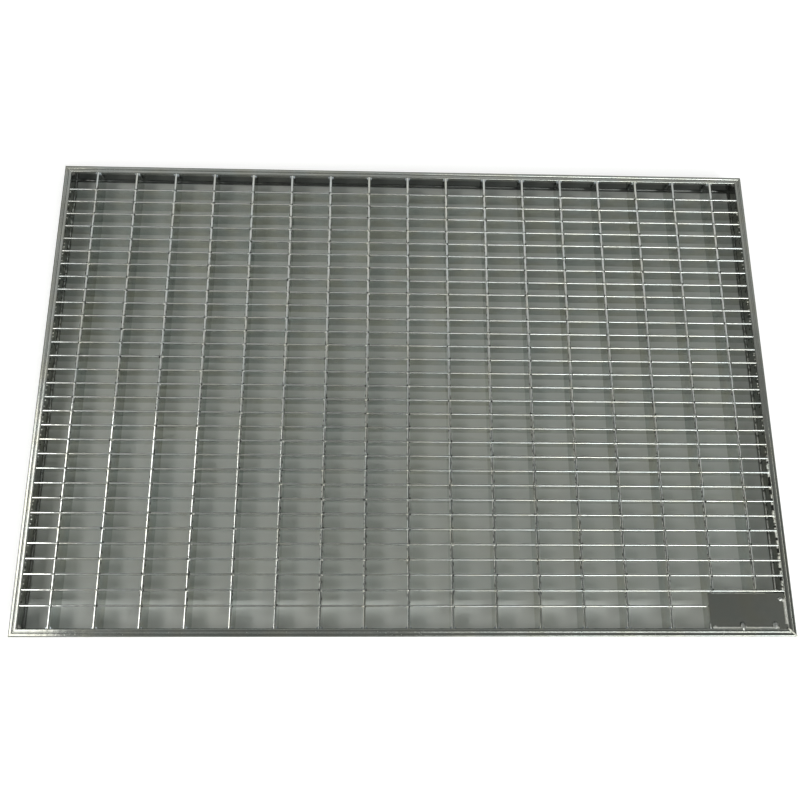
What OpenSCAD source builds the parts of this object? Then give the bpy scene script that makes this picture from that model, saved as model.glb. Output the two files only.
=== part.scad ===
// Mesh grate for an entrance well: a pressed grid of flat steel bars in a mitred frame of rolled
// edging, hot-dip galvanised, with a bare plate let into one corner.
// Millimetres. The origin is at the middle of the underside, X along the long side, Z up.

/* [Overall size] */
// Length of the grate along X, over the frame
grate_l = 590; // [440:10:700]
// Width of the grate along Y, over the frame
grate_w = 390; // [290:10:420]
// Height of the grate
grate_h = 20; // [19:0.5:40]

/* [Frame edging] */
// Width of the bead along the top of the edging
bead_w = 6.25; // [4.5:0.25:9]
// Height of the bead along the top
bead_h = 4; // [3:0.25:5]
// Width of the foot along the bottom of the edging
foot_w = 5; // [4.5:0.25:8]
// Height of the foot
foot_h = 3; // [2.5:0.25:4]
// Thickness of the web between bead and foot
web_t = 2; // [1.5:0.25:2.75]
// Distance from the outside of the frame to the web
web_inset = 1.75; // [1:0.25:2]
// Rounding of the bead's and the foot's edges
edge_r = 1; // [0.4:0.1:1.2]
// Width of the shallow groove that runs along the top of the bead
groove_w = 1.6; // [0.8:0.1:2]
// Depth of that groove
groove_d = 0.35; // [0.1:0.05:0.4]
// Fillet where the web meets the bead and the foot
web_fillet = 0.8; // [0.3:0.1:1]

/* [Bearing bars] */
// Distance from one bearing bar to the next, along X
bearing_pitch = 33.3; // [28:0.1:45]
// Thickness of a bearing bar
bearing_t = 2; // [1.5:0.25:4]
// Least distance from the last bearing bar to the frame
bearing_edge = 20; // [10:1:30]
// Rounding of the long edges of the bearing bars, which are slit from sheet
bearing_r = 0.25; // [0.1:0.05:0.9]

/* [Cross bars] */
// Distance from one cross bar to the next, along Y
cross_pitch = 11.5; // [10:0.1:20]
// Thickness of a cross bar
cross_t = 1.5; // [1:0.25:3]
// Height of a cross bar, from the top face down
cross_h = 14.5; // [10:0.5:15.5]
// Least distance from the last cross bar to the frame
cross_edge = 15; // [10:1:25]
// Rounding of the long edges of the cross bars, left by rolling and by the zinc
cross_r = 0.6; // [0.2:0.05:0.7]

/* [Pressed joints] */
// Depth of the slots in the tops of the bearing bars
slot_h = 7.5; // [5:0.5:9]
// Gap left on each side of a bar that is pressed into a slot
press_gap = 0.05; // [0:0.01:0.1]

/* [Corner plate] */
// Number of bearing bars that run under the plate
plate_bars = 2; // [1:1:4]
// Number of cross bars that stop short of the plate
plate_rows = 1; // [1:1:4]
// How far the plate reaches past the outer face of the last bearing bar under it
plate_lap = 2.6; // [1:0.1:6]
// Thickness of the corner plate
plate_t = 2; // [1:0.25:3]
// How far the plate's top face lies below the top of the grate
plate_drop = 1; // [0.5:0.25:2]
// Radius of the plate's corners
plate_r = 1.5; // [0.5:0.25:3]
// Gap between the plate's rear edge and the cross bar behind it
plate_gap = 0.7; // [0.3:0.1:1.5]
// Gap between the plate and the ends of the cross bars that stop at it
plate_end_gap = 2.5; // [1:0.5:5]

/* [Welds] */
// Leg of the weld on each side of a bearing bar's end
end_weld = 1.3; // [0.8:0.1:2.5]
// Leg of the weld inside each corner of the frame
corner_weld = 2.5; // [1.5:0.25:5]
// Leg of the weld seams between the corner plate and the frame
seam_weld = 1.2; // [0.8:0.1:2]
// Radius of the lumps in those seams
seam_lump = 2; // [1.5:0.1:2.5]

/* [Hidden] */
$fn = 32;
// Colours of bright zinc, dull zinc, and weld metal under zinc
zinc_bright = [0.66, 0.68, 0.66];
zinc_dull = [0.42, 0.43, 0.41];
weld_zinc = [0.72, 0.73, 0.72];
// Reach of the cutting bodies past the faces that they cut
over = 1;
// Most of a bar's thickness that the rounding of one edge may take
round_share = 0.45;
// Ends of the plate's weld seams, and their lumps, as shares of the plate's length and width
front_seam_end = 0.86;
front_seam_middle = 0.45;
side_seam_start = 0.12;
side_seam_end = 0.78;

// Clear space inside the bead, where the cross bars and the plate end
inner_l = grate_l - 2 * bead_w;
inner_w = grate_w - 2 * bead_w;
// The bearing bars end at the bead or the foot, whichever reaches further in
bearing_l = grate_w - 2 * max(bead_w, foot_w);
bearing_count = floor((inner_l - 2 * bearing_edge) / bearing_pitch) + 1;
cross_count = floor((inner_w - 2 * cross_edge) / cross_pitch) + 1;
// Height at which a cross bar sits on the bottoms of the slots
seat_z = grate_h - slot_h;
// Flat stretch of the bead's inner face, where the welds sit
weld_z = grate_h - bead_h + edge_r;
weld_h = bead_h - 2 * edge_r;

// Place of a bar, counted from the left along X or from the back along Y
function bearing_x(i) = (i - (bearing_count + 1) / 2) * bearing_pitch;
function cross_y(i) = ((cross_count + 1) / 2 - i) * cross_pitch;

// The corner plate lies on the bearing bars under it, between the frame and the first whole
// cross bar: its left and rear edges, its underside, its length and its width
plate_x = bearing_x(bearing_count + 1 - plate_bars) - bearing_t / 2 - plate_lap;
plate_y = cross_y(cross_count - plate_rows) - cross_t / 2 - plate_gap;
plate_top = grate_h - plate_drop;
plate_z = plate_top - plate_t;
plate_l = inner_l / 2 - plate_x;
plate_w = plate_y + inner_w / 2;
function cross_end(i) = i > cross_count - plate_rows ? plate_x - plate_end_gap : inner_l / 2;

BEARING_BARS = [for (i = [1:bearing_count]) str("bearing_bar_", i)];
CROSS_BARS = [for (i = [1:cross_count]) str("cross_bar_", i)];
FRAME = ["frame_front", "frame_back", "frame_left", "frame_right"];
WELDS = ["end_welds", "corner_welds", "plate_welds"];

module rounded_rectangle(w, h, r) {
    translate([r, 0]) square([w - 2 * r, h]);
    translate([0, r]) square([w, h - 2 * r]);
    for (x = [r, w - r], y = [r, h - r])
        translate([x, y]) circle(r);
}

// Quarter of a square left over beside a circle: the fillet in the corner at the origin
module fillet(r) {
    difference() {
        square(r);
        translate([r, r]) circle(r);
    }
}

// Section of the groove: an arc as wide and as deep as asked, in the middle of the bead's top
module groove() {
    groove_r = (groove_w * groove_w / 4 + groove_d * groove_d) / (2 * groove_d);
    translate([bead_w / 2, grate_h - groove_d + groove_r]) circle(groove_r);
}

// Section of the rolled edging, X inwards from the outside of the frame and Y up
module edging_section() {
    web_in = web_inset + web_t;
    under_bead = grate_h - bead_h;
    rounded_rectangle(foot_w, foot_h, edge_r);
    difference() {
        translate([0, under_bead]) rounded_rectangle(bead_w, bead_h, edge_r);
        groove();
    }
    translate([web_inset, foot_h / 2]) square([web_t, under_bead + (bead_h - foot_h) / 2]);
    translate([web_in, foot_h]) fillet(web_fillet);
    translate([web_in, under_bead]) mirror([0, 1]) fillet(web_fillet);
    translate([web_inset, foot_h]) mirror([1, 0]) fillet(web_fillet);
    translate([web_inset, under_bead]) rotate(180) fillet(web_fillet);
}

// Edging with its outside on the X axis, cut off at 45 degrees at both ends
module edging(length) {
    reach = max(bead_w, foot_w) + over;
    intersection() {
        rotate([90, 0, 90]) linear_extrude(length, center = true) edging_section();
        linear_extrude(grate_h) polygon([
            [-length / 2, 0],
            [length / 2, 0],
            [length / 2 - reach, reach],
            [reach - length / 2, reach]
        ]);
    }
}

module frame_front() {
    color(zinc_dull) translate([0, -grate_w / 2, 0]) edging(grate_l);
}

module frame_back() {
    color(zinc_dull) translate([0, grate_w / 2, 0]) rotate(180) edging(grate_l);
}

module frame_left() {
    color(zinc_dull) translate([-grate_l / 2, 0, 0]) rotate(-90) edging(grate_w);
}

module frame_right() {
    color(zinc_dull) translate([grate_l / 2, 0, 0]) rotate(90) edging(grate_w);
}

// Space in and above the corner plate, which the bearing bars leave free
module plate_seat() {
    translate([plate_x, -inner_w / 2 - over, plate_z])
        cube([plate_l + over, plate_w + over, plate_t + plate_drop + over]);
}

// Flat bar that stands on edge along X, with its long edges rounded
module flat_bar(x0, x1, t, h, r) {
    translate([x0, -t / 2, 0])
        rotate([90, 0, 90]) linear_extrude(x1 - x0)
            rounded_rectangle(t, h, min(r, round_share * t));
}

module bearing_bar(i) {
    slot_w = cross_t + 2 * press_gap;
    color(zinc_bright) difference() {
        translate([bearing_x(i), 0, 0])
            rotate(90) flat_bar(-bearing_l / 2, bearing_l / 2, bearing_t, grate_h, bearing_r);
        for (j = [1:cross_count])
            translate([bearing_x(i) - bearing_t, cross_y(j) - slot_w / 2, seat_z])
                cube([2 * bearing_t, slot_w, slot_h + over]);
        plate_seat();
    }
}

module cross_bar(i) {
    notch_w = bearing_t + 2 * press_gap;
    bottom_z = grate_h - cross_h;
    color(zinc_bright) difference() {
        translate([0, cross_y(i), bottom_z]) flat_bar(-inner_l / 2, cross_end(i), cross_t, cross_h, cross_r);
        for (j = [1:bearing_count])
            translate([bearing_x(j) - notch_w / 2, cross_y(i) - cross_t, bottom_z - over])
                cube([notch_w, 2 * cross_t, seat_z - bottom_z + over]);
    }
}

module corner_plate() {
    color(zinc_dull) translate([plate_x, -inner_w / 2, plate_z])
        linear_extrude(plate_t) rounded_rectangle(plate_l, plate_w, plate_r);
}

// Weld in the corner between two upright faces that meet at the origin
module weld(leg) {
    translate([0, 0, weld_z]) intersection() {
        cylinder(h = weld_h, r = leg);
        cube([leg, leg, weld_h]);
    }
}

// Two welds to each end of a bearing bar, one on either side, but none in front under the plate
module end_welds() {
    color(weld_zinc)
        for (i = [1:bearing_count], x = [0, 1], y = [0, 1])
            if (y == 1 || i <= bearing_count - plate_bars)
                translate([bearing_x(i), 0, 0]) mirror([x, 0, 0]) mirror([0, y, 0])
                    translate([bearing_t / 2, -inner_w / 2, 0]) weld(end_weld);
}

// Welds inside the three corners of the frame that the plate leaves free
module corner_welds() {
    color(weld_zinc)
        for (corner = [[0, 0], [0, 1], [1, 1]])
            mirror([corner[0], 0, 0]) mirror([0, corner[1], 0])
                translate([-inner_l / 2, -inner_w / 2, 0]) weld(corner_weld);
}

// Weld seam along X in the corner between the plate and the frame, from x0 to x1, with lumps
module seam(x0, x1, lumps) {
    lump_r = (seam_lump * seam_lump + plate_drop * plate_drop) / (2 * plate_drop);
    intersection() {
        union() {
            translate([x0, 0, 0]) rotate([0, 90, 0]) cylinder(h = x1 - x0, r = seam_weld);
            for (x = lumps)
                translate([x, 0, plate_drop - lump_r]) sphere(lump_r);
        }
        translate([x0 - 2 * seam_lump, 0, 0])
            cube([x1 - x0 + 4 * seam_lump, 2 * seam_lump, plate_drop]);
    }
}

// Seams along the plate's front edge and along its right edge
module plate_welds() {
    front_start = plate_r + seam_lump;
    color(weld_zinc) {
        translate([plate_x, -inner_w / 2, plate_top])
            seam(front_start, front_seam_end * plate_l,
                [front_start, front_seam_middle * plate_l, front_seam_end * plate_l]);
        translate([inner_l / 2, -inner_w / 2, plate_top]) rotate(90)
            seam(side_seam_start * plate_w, side_seam_end * plate_w, [side_seam_end * plate_w]);
    }
}

frame_front();
frame_back();
frame_left();
frame_right();
for (i = [1:bearing_count])
    bearing_bar(i);
for (i = [1:cross_count])
    cross_bar(i);
corner_plate();
end_welds();
corner_welds();
plate_welds();
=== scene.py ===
# Looks of the mesh grate: zinc on every bar, weld metal, burrs, floor, light and camera
import random
from math import cos, pi, radians, sin

import bmesh
import bpy
from mathutils import Matrix, Vector

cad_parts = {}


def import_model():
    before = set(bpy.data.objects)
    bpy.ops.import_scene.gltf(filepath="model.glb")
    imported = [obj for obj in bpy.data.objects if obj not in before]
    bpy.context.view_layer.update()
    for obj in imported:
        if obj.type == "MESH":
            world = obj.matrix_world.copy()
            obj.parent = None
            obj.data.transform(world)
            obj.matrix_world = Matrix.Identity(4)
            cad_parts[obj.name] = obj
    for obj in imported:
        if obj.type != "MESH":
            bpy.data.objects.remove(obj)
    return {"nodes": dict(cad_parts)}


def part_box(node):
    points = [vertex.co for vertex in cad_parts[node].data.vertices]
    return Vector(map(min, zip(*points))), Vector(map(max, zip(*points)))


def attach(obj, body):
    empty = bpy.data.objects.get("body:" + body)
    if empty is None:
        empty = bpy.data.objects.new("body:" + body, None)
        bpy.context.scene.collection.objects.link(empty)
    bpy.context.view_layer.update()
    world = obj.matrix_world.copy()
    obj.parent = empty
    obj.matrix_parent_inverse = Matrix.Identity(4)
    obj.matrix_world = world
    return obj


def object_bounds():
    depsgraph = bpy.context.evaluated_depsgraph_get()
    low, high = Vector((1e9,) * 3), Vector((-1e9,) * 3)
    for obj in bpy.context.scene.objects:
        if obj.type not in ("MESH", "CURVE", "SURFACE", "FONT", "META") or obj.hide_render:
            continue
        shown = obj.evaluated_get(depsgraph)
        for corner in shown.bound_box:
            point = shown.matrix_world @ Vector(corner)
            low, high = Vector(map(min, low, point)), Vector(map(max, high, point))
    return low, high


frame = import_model()
cad_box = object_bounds()
nodes = frame["nodes"]

# Camera, in metres and degrees in the frame of the part, and its focal length in pixels of 800
CAMERA_PLACE = (-0.0279, -0.1817, 0.6435)
CAMERA_TURN = (15.23, -1.96, 0.0)
FOCAL_PX = 803
PICTURE_PX = 800
SENSOR_MM = 36

# Floor: half size each way from the middle of the patch under the grate that gets no white lift and reads
# darker, as painted shade, and the floor's colours
SHADE_PATCH_HALF = (0.2925, 0.1925)
FLOOR_WHITE = (0.8, 0.8, 0.8)
FLOOR_GREY = (0.8, 0.82, 0.79)
FLOOR_LIFT = 0.6
FLOOR_SIZE = 8

# Light from all round: dark low down, a pale ring high up, and a dark canopy overhead, a little to the
# right. The direction to the middle of the canopy, then the cosine of the angle to it and the colour there
CANOPY = (0.15, -0.2, 0.968)
SKY = [(0.0, (0.07, 0.075, 0.075)), (0.48, (0.1, 0.105, 0.1)), (0.64, (0.7, 0.71, 0.7)),
       (0.8, (0.64, 0.65, 0.64)), (0.9, (0.12, 0.126, 0.12)), (0.95, (0.085, 0.09, 0.083)),
       (0.99, (0.15, 0.155, 0.147))]

# In metres: walking surface, bottom of the bars' slots, pitch of the bearing bars, and width of the
# edging's bead
TOP = cad_box[1][2]
SEAT = TOP - 0.0075
BEARING_PITCH = 0.0333
BEAD = 0.00625

# Rear edge of the corner plate, and the lip of zinc along it: first x, pitch and count of its lumps
PLATE_BACK = -0.1626
LIP_START, LIP_PITCH, LIP_LUMPS = 0.2329, 0.0016, 26
# Raised weld lumps round the plate: x, y, height of the middle over the top, half size each way
RAISED = [(0.2541, -0.1875, -0.0003, (0.0018, 0.0037, 0.0009)),
          (0.2795, -0.1866, -0.0009, (0.0024, 0.0032, 0.0008)),
          (0.2857, -0.1672, -0.0009, (0.0026, 0.0017, 0.0009)),
          (0.2291, -0.1868, -0.0009, (0.0009, 0.0029, 0.0008))]

# The beads along the right frame are full grown in front of this y; all others are small
GROWN_FROM = -0.065

# Darker zinc at the foot of the edging, as painted shade low down, and the grain of weld metal, which runs
# no way
FOOT_SHADE_ZINC = (0.115, 0.12, 0.12, 1)
NO_GRAIN = (700, 700, 700)
# The four corners of the grate or of a crossing, as signs of x and y
CORNERS = ((1, 1), (-1, 1), (-1, -1), (1, -1))


def new_material(name):
    """An empty node material: the material, its output node, and a helper that adds linked nodes."""
    mat = bpy.data.materials.new(name)
    mat.use_nodes = True
    tree = mat.node_tree
    tree.nodes.clear()
    out = tree.nodes.new("ShaderNodeOutputMaterial")

    def add(kind, inputs=None, **props):
        node = tree.nodes.new(kind)
        for key, value in props.items():
            setattr(node, key, value)
        for key, value in (inputs or {}).items():
            if isinstance(value, bpy.types.NodeSocket):
                tree.links.new(value, node.inputs[key])
            else:
                node.inputs[key].default_value = value
        return node

    return mat, out, add


def ramp(add, factor, stops):
    """Colour ramp through (position, colour) stops."""
    node = add("ShaderNodeValToRGB", {"Fac": factor})
    fill_ramp(node, stops)
    return node.outputs["Color"]


def fill_ramp(node, stops):
    elements = node.color_ramp.elements
    while len(elements) < len(stops):
        elements.new(0.5)
    for element, (place, colour) in zip(elements, stops):
        element.position = place
        element.color = (*colour, 1)


def span(add, factor, low, high, start=0.0, end=1.0):
    """Maps start to end onto low to high."""
    node = add("ShaderNodeMapRange", {"Value": factor, "From Min": start, "From Max": end,
                                      "To Min": low, "To Max": high})
    return node.outputs["Result"]


def mix(add, factor, a, b, how="MIX"):
    node = add("ShaderNodeMixRGB", {"Fac": factor, "Color1": a, "Color2": b}, blend_type=how)
    return node.outputs["Color"]


def zinc(name, dark, light, grain, spangle=230, rough=(0.08, 0.13), bump=0.1, patches=0.2, foot_shade=0.0,
         foot_shade_top=0.006, crown=0.0, metal=0.95):
    """Hot-dip galvanised steel: faint spangle, runs drawn out along the bar, cloudy dull spots.

    Its tone goes from dark to light, and grain is how fine the runs are each way. Under a given height
    the bar is darkened by a given share, as painted shade low down, and crown rounds the tops of the
    bearing bars.
    """
    mat, out, add = new_material(name)
    place = add("ShaderNodeTexCoord").outputs["Object"]
    wobble = add("ShaderNodeTexNoise", {"Vector": place, "Scale": 420.0, "Detail": 2.0})
    bent = mix(add, 0.0035, place, wobble.outputs["Color"], "ADD")
    crystals = add("ShaderNodeTexVoronoi", {"Vector": bent, "Scale": spangle})
    crystal = add("ShaderNodeRGBToBW", {"Color": crystals.outputs["Color"]}).outputs["Val"]
    drawn = add("ShaderNodeMapping", {"Vector": place, "Scale": grain})
    runs = add("ShaderNodeTexNoise", {"Vector": drawn.outputs["Vector"], "Scale": 1.0, "Detail": 6.0})
    clouds = add("ShaderNodeTexNoise", {"Vector": place, "Scale": 22.0, "Detail": 5.0})
    grit = add("ShaderNodeTexNoise", {"Vector": place, "Scale": 1100.0, "Detail": 3.0})
    tone = mix(add, 0.5, clouds.outputs["Fac"], runs.outputs["Fac"])
    tone = mix(add, patches, tone, crystal)
    tone = mix(add, 0.2, tone, grit.outputs["Fac"])
    colour = ramp(add, tone, [(0.34, dark), (0.66, light)])
    stain = add("ShaderNodeTexNoise", {"Vector": place, "Scale": 48.0, "Detail": 1.0})
    tint = ramp(add, stain.outputs["Fac"], [(0.36, (0.96, 0.99, 1.0)), (0.5, (1.0, 1.0, 1.0)),
                                            (0.64, (1.0, 0.99, 0.94))])
    colour = mix(add, 1.0, colour, tint, "MULTIPLY")
    # Painted shade: the zinc is darkened towards the foot, under the given height
    if foot_shade:
        height = add("ShaderNodeSeparateXYZ", {"Vector": place}).outputs["Z"]
        low = span(add, height, foot_shade, 0.0, foot_shade_top * 0.6, foot_shade_top)
        colour = mix(add, low, colour, FOOT_SHADE_ZINC)
    roughness = span(add, tone, rough[1], rough[0], 0.3, 0.7)
    lumps = mix(add, 0.45, grit.outputs["Fac"], runs.outputs["Fac"])
    dents = add("ShaderNodeTexNoise", {"Vector": place, "Scale": 75.0, "Detail": 2.0})
    waves = add("ShaderNodeBump", {"Height": dents.outputs["Fac"], "Strength": 0.15, "Distance": 0.0009})
    shape = waves.outputs["Normal"]
    if crown:
        across = add("ShaderNodeSeparateXYZ", {"Vector": place}).outputs["X"]
        off = add("ShaderNodeMath", {0: across, 1: BEARING_PITCH / 2}, operation="PINGPONG").outputs[0]
        square = add("ShaderNodeMath", {0: off, 1: off}, operation="MULTIPLY").outputs[0]
        dome = add("ShaderNodeMath", {0: square, 1: -crown}, operation="MULTIPLY").outputs[0]
        shape = add("ShaderNodeBump", {"Height": dome, "Strength": 1.0, "Distance": 1.0,
                                       "Normal": shape}).outputs["Normal"]
    relief = add("ShaderNodeBump", {"Height": lumps, "Strength": bump, "Distance": 0.0004, "Normal": shape})
    shader = add("ShaderNodeBsdfPrincipled", {"Base Color": colour, "Roughness": roughness,
                                              "Normal": relief.outputs["Normal"], "Metallic": metal})
    out.id_data.links.new(shader.outputs["BSDF"], out.inputs["Surface"])
    return mat


def paint(names, mat):
    """Puts a material on CAD nodes."""
    for name in names:
        slots = nodes[name].material_slots
        for s in slots:
            s.material = mat
        if not slots:
            nodes[name].data.materials.append(mat)


def named(start):
    return [n for n in nodes if n.startswith(start)]


def dress_grate():
    """Zinc on the CAD nodes, with its grain along each bar. Returns weld metal: dull, a pale one as painted
    highlight, and a near-black one as painted shade.
    """
    long_x = (30, 1100, 1100)
    long_y = (1100, 30, 1100)
    rolled = {"patches": 0.06, "rough": (0.08, 0.14), "bump": 0.05}
    # Painted shade: the edging is one zinc, but the right bar gets darker zinc than the left, and the front
    # and back bars a little darker than the left
    paint(["frame_front"], zinc("zinc_frame_front", (0.3, 0.31, 0.29), (0.47, 0.48, 0.45), long_x,
                                foot_shade=0.35, metal=0.82, **rolled))
    # Painted shade: the back bar is darkened nearly to its top, for the shade on its inner face
    paint(["frame_back"], zinc("zinc_frame_back", (0.3, 0.31, 0.29), (0.47, 0.48, 0.45), long_x,
                               foot_shade=0.8, foot_shade_top=0.019, metal=0.82, **rolled))
    paint(["frame_left"], zinc("zinc_frame_left", (0.33, 0.335, 0.31), (0.5, 0.51, 0.48), long_y,
                               foot_shade=0.35, patches=0.06, rough=(0.16, 0.24)))
    paint(["frame_right"], zinc("zinc_frame_right", (0.25, 0.255, 0.235), (0.38, 0.39, 0.36), long_y,
                                foot_shade=0.35, metal=0.85, **rolled))
    # Painted light: the bars' zinc is much lighter than the edging's, so their faces down in the cells read
    # brighter
    paint(named("bearing_bar"), zinc("zinc_bearing", (0.6, 0.615, 0.59), (0.82, 0.835, 0.81), long_y,
                                     crown=150, rough=(0.05, 0.1), bump=0.06))
    paint(named("cross_bar"), zinc("zinc_cross", (0.62, 0.635, 0.61), (0.84, 0.855, 0.83), long_x,
                                   rough=(0.04, 0.08), bump=0.04))
    paint(["corner_plate"], zinc("zinc_plate", (0.48, 0.485, 0.45), (0.62, 0.625, 0.58), (160, 90, 200),
                                 rough=(0.12, 0.2), bump=0.05, patches=0.05))
    weld = zinc("zinc_weld", (0.3, 0.305, 0.29), (0.5, 0.51, 0.49), NO_GRAIN, rough=(0.2, 0.4))
    paint(["end_welds"], zinc("zinc_end_weld", (0.46, 0.5, 0.54), (0.76, 0.82, 0.87), NO_GRAIN,
                              rough=(0.15, 0.3), metal=0.7))
    # Painted highlight: the plate's seams are made pale to stand in for their glints
    paint(["plate_welds"], zinc("zinc_seam_painted_highlight", (0.6, 0.6, 0.56), (0.88, 0.88, 0.83), NO_GRAIN,
                                rough=(0.2, 0.35), metal=0.45))
    paint(["corner_welds"], zinc("zinc_corner", (0.1, 0.1, 0.09), (0.24, 0.24, 0.22), NO_GRAIN,
                                 rough=(0.35, 0.5)))
    # Painted highlight: pale, mostly non-metal weld zinc that stands in for glints on welds and beads
    pale_glint_zinc = zinc("zinc_weld_painted_highlight", (0.72, 0.72, 0.64), (0.92, 0.92, 0.85), NO_GRAIN,
                 rough=(0.25, 0.4), metal=0.25)
    # Painted shade: near-black zinc for specks that stand in for shade in the gaps beside beads and joints
    shade_zinc = zinc("zinc_painted_shade", (0.02, 0.02, 0.018), (0.07, 0.07, 0.065), NO_GRAIN, rough=(0.3, 0.5))
    return weld, pale_glint_zinc, shade_zinc


def inside(add, place, half_x, half_y):
    """1 where the point lies in the middle rectangle of that half size, else 0."""
    parts = add("ShaderNodeSeparateXYZ", {"Vector": place})
    flags = []
    for axis, half in (("X", half_x), ("Y", half_y)):
        size = add("ShaderNodeMath", {0: parts.outputs[axis]}, operation="ABSOLUTE")
        flags.append(add("ShaderNodeMath", {0: size.outputs[0], 1: half}, operation="LESS_THAN").outputs[0])
    return add("ShaderNodeMath", {0: flags[0], 1: flags[1]}, operation="MULTIPLY").outputs[0]


def seen_directly(add):
    """1 for rays from the camera and for mirrored and refracted ones, else 0."""
    path = add("ShaderNodeLightPath")
    rays = [path.outputs[n] for n in ("Is Camera Ray", "Is Glossy Ray", "Is Transmission Ray")]
    first = add("ShaderNodeMath", {0: rays[0], 1: rays[1]}, operation="MAXIMUM")
    return add("ShaderNodeMath", {0: first.outputs[0], 1: rays[2]}, operation="MAXIMUM").outputs[0]


def floor():
    """White floor; under the grate it gets no white lift and reads darker, as painted shade."""
    mat, out, add = new_material("floor_white")
    place = add("ShaderNodeTexCoord").outputs["Object"]
    # Painted shade: the patch under the grate gets no white lift
    grate_shade_patch = inside(add, place, SHADE_PATCH_HALF[0], SHADE_PATCH_HALF[1])
    colour = mix(add, grate_shade_patch, (*FLOOR_WHITE, 1), (*FLOOR_GREY, 1))
    lit = add("ShaderNodeBsdfDiffuse", {"Color": colour})
    open_floor = add("ShaderNodeMath", {0: 1.0, 1: grate_shade_patch}, operation="SUBTRACT")
    glow = add("ShaderNodeMath", {0: seen_directly(add), 1: open_floor.outputs[0]}, operation="MULTIPLY")
    lift = add("ShaderNodeMath", {0: glow.outputs[0], 1: FLOOR_LIFT}, operation="MULTIPLY")
    white = add("ShaderNodeEmission", {"Color": (1, 1, 1, 1), "Strength": lift.outputs[0]})
    both = add("ShaderNodeAddShader", {0: lit.outputs["BSDF"], 1: white.outputs["Emission"]})
    out.id_data.links.new(both.outputs["Shader"], out.inputs["Surface"])
    bpy.ops.mesh.primitive_plane_add(size=FLOOR_SIZE)
    ground = bpy.context.object
    ground.name = "floor"
    ground.data.materials.append(mat)


def world():
    """Soft surroundings: dark low down, a pale ring high up, and a dark canopy in the middle of it."""
    w = bpy.data.worlds.new("studio")
    bpy.context.scene.world = w
    w.use_nodes = True
    tree = w.node_tree
    tree.nodes.clear()
    out = tree.nodes.new("ShaderNodeOutputWorld")
    sky = tree.nodes.new("ShaderNodeBackground")
    place = tree.nodes.new("ShaderNodeTexCoord")
    toward = tree.nodes.new("ShaderNodeVectorMath")
    toward.operation = "DOT_PRODUCT"
    toward.inputs[1].default_value = CANOPY
    blend = tree.nodes.new("ShaderNodeValToRGB")
    fill_ramp(blend, SKY)
    tree.links.new(place.outputs["Generated"], toward.inputs[0])
    tree.links.new(toward.outputs["Value"], blend.inputs["Fac"])
    tree.links.new(blend.outputs["Color"], sky.inputs["Color"])
    tree.links.new(sky.outputs["Background"], out.inputs["Surface"])


def lamp(name, place, aim, size, power, colour):
    """Soft lamp of that width, level, and that height, up its slope."""
    light = bpy.data.lights.new(name, "AREA")
    light.shape = "RECTANGLE"
    light.size, light.size_y = size
    light.energy = power
    light.color = colour
    holder = bpy.data.objects.new(name, light)
    bpy.context.scene.collection.objects.link(holder)
    holder.location = place
    holder.rotation_euler = (Vector(aim) - Vector(place)).to_track_quat("-Z", "Y").to_euler()


def camera():
    data = bpy.data.cameras.new("camera")
    data.sensor_width = SENSOR_MM
    data.lens = FOCAL_PX / PICTURE_PX * SENSOR_MM
    holder = bpy.data.objects.new("camera", data)
    holder.location = CAMERA_PLACE
    holder.rotation_euler = [radians(a) for a in CAMERA_TURN]
    bpy.context.scene.collection.objects.link(holder)
    bpy.context.scene.camera = holder


def piece(name, mesh, mat):
    """Links a finished mesh as a piece that rides on the grate."""
    data = bpy.data.meshes.new(name)
    mesh.to_mesh(data)
    mesh.free()
    for face in data.polygons:
        face.use_smooth = True
    data.materials.append(mat)
    holder = bpy.data.objects.new(name, data)
    bpy.context.scene.collection.objects.link(holder)
    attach(holder, "root")


def lump(mesh, draw, place, size, turn=0.0, fine=1):
    """Adds a small uneven blob: an icosphere squashed to that half size each way."""
    made = bmesh.ops.create_icosphere(mesh, subdivisions=fine, radius=1.0)
    shape = Matrix.Translation(place) @ Matrix.Rotation(turn, 4, "Z") @ Matrix.Diagonal((*size, 1.0))
    for v in made["verts"]:
        v.co = shape @ (v.co * draw.uniform(0.82, 1.12))


def crossings():
    """Middle of each crossing in the top face, and half the thickness of the two bars there."""
    spots = []
    cross_boxes = [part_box(n) for n in named("cross_bar")]
    for name in named("bearing_bar"):
        low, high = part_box(name)
        for c_low, c_high in cross_boxes:
            x, y = (low[0] + high[0]) / 2, (c_low[1] + c_high[1]) / 2
            if c_low[0] < x < c_high[0]:
                spots.append((x, y, (high[0] - low[0]) / 2, (c_high[1] - c_low[1]) / 2))
    return spots


def fillet(mesh, draw, corner, side_x, side_y):
    """Adds zinc with a hollow face down one inner corner of a joint, thickest a little under the top."""
    rings = []
    for z, share in ((TOP - 0.0004, 0.55), (TOP - 0.001, 1.0), (TOP - 0.004, 0.75), (SEAT, 0.3)):
        leg = draw.uniform(0.0005, 0.00105) * share
        ring = []
        for step in range(4):
            angle = step / 3 * pi / 2
            out_x, out_y = leg * (1 - sin(angle)), leg * (1 - cos(angle))
            ring.append(mesh.verts.new(corner + Vector((side_x * out_x, side_y * out_y, z))))
        ring.append(mesh.verts.new(corner + Vector((0, 0, z))))
        rings.append(ring)
    if side_x * side_y < 0:
        rings = [ring[::-1] for ring in rings]
    for upper, lower in zip(rings, rings[1:]):
        for i in range(5):
            j = (i + 1) % 5
            mesh.faces.new((upper[i], upper[j], lower[j], lower[i]))
    mesh.faces.new(rings[0][::-1])
    mesh.faces.new(rings[-1])


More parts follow.
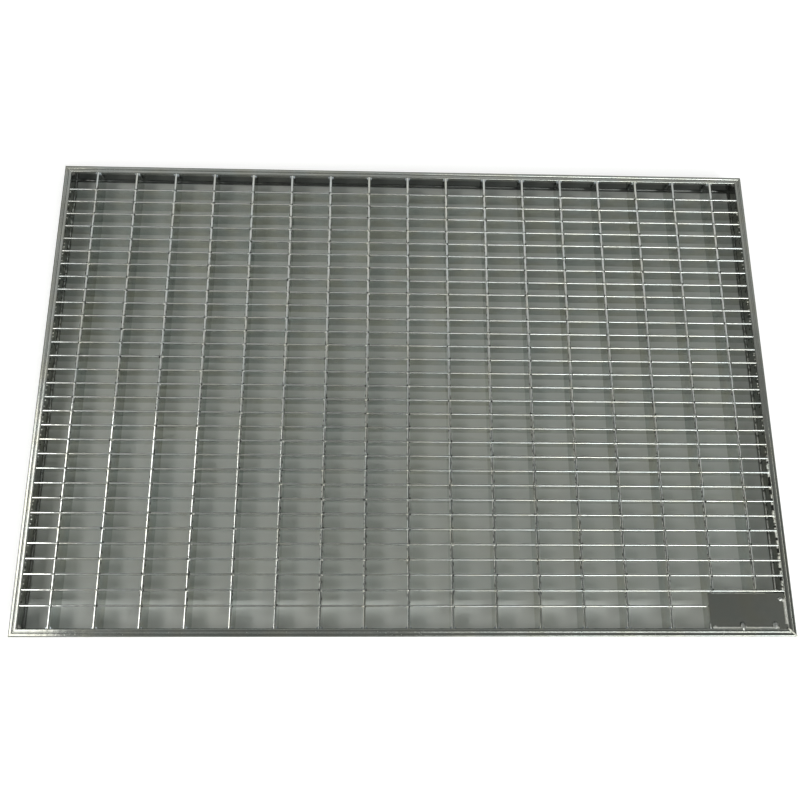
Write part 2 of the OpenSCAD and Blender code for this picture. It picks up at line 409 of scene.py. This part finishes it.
def joint_zinc(mat, bright, dark):
    """Zinc in the four inner corners of each pressed joint, and burrs on its top, with pale beads as
    painted highlights and near-black specks as painted shade.
    """
    draw = random.Random(27)
    sunk = 0.0001
    fills, burrs, beads, specks = bmesh.new(), bmesh.new(), bmesh.new(), bmesh.new()
    for x, y, half_x, half_y in crossings():
        for side_x, side_y in CORNERS:
            corner = Vector((x + side_x * (half_x - sunk), y + side_y * (half_y - sunk), 0))
            fillet(fills, draw, corner, side_x, side_y)
        for _ in range(draw.choice((1, 2, 2, 3))):
            spot = Vector((x + draw.uniform(-1, 1) * half_x, y + draw.uniform(-1, 1) * 0.0022,
                           TOP - 0.00012))
            size = (draw.uniform(0.0002, 0.0006), draw.uniform(0.0003, 0.0011),
                    draw.uniform(0.0002, 0.0004))
            lump(burrs, draw, spot, size, draw.uniform(-0.4, 0.4))
        # Painted highlight: a pale bead beside the crossing; painted shade: a near-black speck on its other
        # side, and two more along the bearing bar's edges
        side = draw.choice((-1, -1, -1, 1))
        spot = Vector((x + side * draw.uniform(0.0003, 0.0013), y - draw.uniform(0.0002, 0.0009),
                       TOP - sunk))
        size = (draw.uniform(0.0006, 0.0013), draw.uniform(0.0005, 0.0009), 0.0004)
        lump(beads, draw, spot, size, draw.uniform(-0.4, 0.4))
        spot = Vector((x - side * draw.uniform(0.0006, 0.0013), y + draw.uniform(-0.0009, 0.001),
                       TOP - sunk))
        size = (draw.uniform(0.0005, 0.0009), draw.uniform(0.0006, 0.0012), 0.0004)
        lump(specks, draw, spot, size, draw.uniform(-0.5, 0.5))
        for _ in range(2):
            spot = Vector((x + draw.choice((-1, 1)) * 0.00095, y + draw.uniform(0.0015, 0.0095),
                           TOP - 0.00015))
            size = (0.0004, draw.uniform(0.0005, 0.0016), 0.0003)
            lump(specks, draw, spot, size, draw.uniform(-0.1, 0.1))
    bmesh.ops.recalc_face_normals(fills, faces=fills.faces)
    piece("joint_fills", fills, mat)
    piece("joint_burrs", burrs, mat)
    piece("joint_beads", beads, bright)
    piece("joint_painted_shade", specks, dark)


def side_beads(bright, dark):
    """Ragged weld beads between the cross bars, along the inner edges of the side frames: pale ones as
    painted highlights, some near-black as painted shade.
    """
    draw = random.Random(41)
    # Share of the beads made near-black as painted shade; the rest are pale, as painted highlights
    painted_shade_share = 0.35
    beads, specks = bmesh.new(), bmesh.new()
    rows = sorted((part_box(n)[0][1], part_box(n)[1][1]) for n in named("cross_bar"))
    for side in (-1, 1):
        edge = side * (cad_box[1][0] - BEAD)
        for (_, start), (end, _) in zip(rows, rows[1:]):
            if side > 0 and start < PLATE_BACK:
                continue
            full = side > 0 and start < GROWN_FROM
            grown = 1.0 if full else 0.5
            spots = 6 if full else draw.choice((0, 2, 3))
            for i in range(spots):
                y = start + (end - start) * (i + draw.uniform(0.2, 0.8)) / spots
                size = (draw.uniform(0.0007, 0.0015) * grown, draw.uniform(0.0009, 0.0018) * grown,
                        draw.uniform(0.0005, 0.0009) * grown)
                spot = Vector((edge - side * draw.uniform(0, 0.0008), y, TOP - 0.0009))
                mesh = specks if draw.random() < painted_shade_share else beads
                lump(mesh, draw, spot, size, draw.uniform(-0.5, 0.5))
    piece("side_beads", beads, bright)
    piece("side_painted_shade", specks, dark)


def corner_seams(mat):
    """Weld seams along the four mitres, proud only at the corner with the plate. They get the pale weld
    zinc, as painted highlights.
    """
    draw = random.Random(5)
    mesh = bmesh.new()
    for side_x, side_y in CORNERS:
        by_plate = (side_x, side_y) == (1, -1)
        size = (0.001, 0.0009, 0.0008) if by_plate else (0.001, 0.0002, 0.00016)
        outer = Vector((side_x * cad_box[1][0], side_y * cad_box[1][1], 0))
        inward = Vector((-side_x, -side_y, 0)) * BEAD
        for i in range(11):
            spot = outer + inward * (0.12 + 0.8 * i / 10)
            spot.z = TOP - 0.0001
            lump(mesh, draw, spot, size, side_x * side_y * pi / 4)
    piece("corner_seams", mesh, mat)


def plate_lumps(mat):
    """Raised weld lumps round the plate, the lip of zinc along its rear edge, and spatter in front."""
    draw = random.Random(12)
    spatter = 110
    mesh = bmesh.new()
    for x, y, z, size in RAISED:
        lump(mesh, draw, Vector((x, y, TOP + z)), size, 0.0, 2)
    for i in range(LIP_LUMPS):
        x = LIP_START + LIP_PITCH * i + draw.uniform(-0.0002, 0.0002)
        lump(mesh, draw, Vector((x, PLATE_BACK - 0.0002, TOP - 0.0011)), (0.0015, 0.0004, 0.00035))
    for _ in range(spatter):
        x = draw.choice((draw.uniform(-0.28, 0.29), draw.uniform(0.1, 0.29)))
        y = -cad_box[1][1] + draw.uniform(0.0006, BEAD - 0.0002)
        r = draw.uniform(0.00012, 0.00035)
        lump(mesh, draw, Vector((x, y, TOP - 0.00003)), (r, r * draw.uniform(0.7, 1.2), r * 0.6))
    piece("plate_lumps", mesh, mat)


weld_metal, highlight_weld, shade_metal = dress_grate()
joint_zinc(weld_metal, highlight_weld, shade_metal)
side_beads(highlight_weld, shade_metal)
corner_seams(highlight_weld)
plate_lumps(weld_metal)
floor()
world()
lamp("lamp_left", (-0.97, -0.12, 1.3), (-0.2, -0.05, 0), (0.9, 0.38), 4, (1.0, 0.985, 0.95))
lamp("lamp_right", (0.93, -1.5, 1.4), (0, 0, 0), (0.85, 0.5), 7, (0.96, 1.0, 0.98))
lamp("lamp_front", (0.8, -1.15, 1.35), (0, 0, 0), (1.5, 0.9), 14, (0.98, 1.0, 0.98))
camera()
bpy.context.scene.view_settings.view_transform = "Standard"
